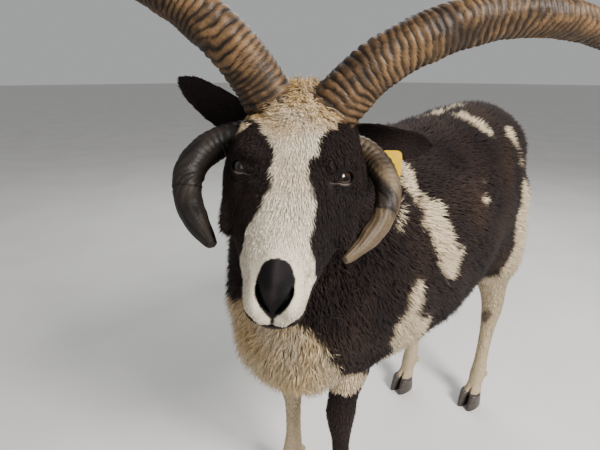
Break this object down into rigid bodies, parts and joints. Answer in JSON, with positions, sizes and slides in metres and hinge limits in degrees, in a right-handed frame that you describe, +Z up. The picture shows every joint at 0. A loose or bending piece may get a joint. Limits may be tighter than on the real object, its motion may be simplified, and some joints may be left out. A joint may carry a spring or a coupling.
{
  "type": "jacob sheep",
  "caption": "Life-size still model of a piebald, multi-horned ram, standing with its head turned to its left, with an ear tag.",
  "frame": {"origin": "on the floor, under the middle of the model's box", "axes": "-Y is the way the body faces, +X is the ram's left, +Z is up"},
  "size_m": [0.6464, 1.004, 0.9297],
  "materials": {
    "coat_dark": "short dense dark fleece and face hair, matte, with pale markings",
    "coat_pale": "cream fleece and short leg hair, matte, with darker markings",
    "horn_brown": "ringed brown horn, dull sheen, darker in the grooves",
    "horn_dark": "dark, grooved horn, dull sheen, worn pale towards the tip",
    "eye": "wet, glossy dark brown eye",
    "hoof": "dull dark grey hoof",
    "tag": "plain yellow plastic tag, bare"
  },
  "bodies": {
    "root": {"head": "coat_dark", "neck": "coat_dark", "torso": "coat_dark", "thigh_left": "coat_dark", "thigh_right": "coat_dark", "foreleg_left": "coat_dark", "ear_left": "coat_dark", "ear_right": "coat_dark", "tail": "coat_dark", "foreleg_right": "coat_pale", "hindleg_left": "coat_pale", "hindleg_right": "coat_pale", "horn_upper_left": "horn_brown", "horn_upper_right": "horn_brown", "horn_lower_left": "horn_dark", "horn_lower_right": "horn_dark", "eye_left": "eye", "eye_right": "eye", "ear_tag": "tag", "hoof_fore_left_outer": "hoof", "hoof_fore_left_inner": "hoof", "hoof_fore_right_outer": "hoof", "hoof_fore_right_inner": "hoof", "hoof_hind_left_outer": "hoof", "hoof_hind_left_inner": "hoof", "hoof_hind_right_outer": "hoof", "hoof_hind_right_inner": "hoof"}
  },
  "joints": []
}
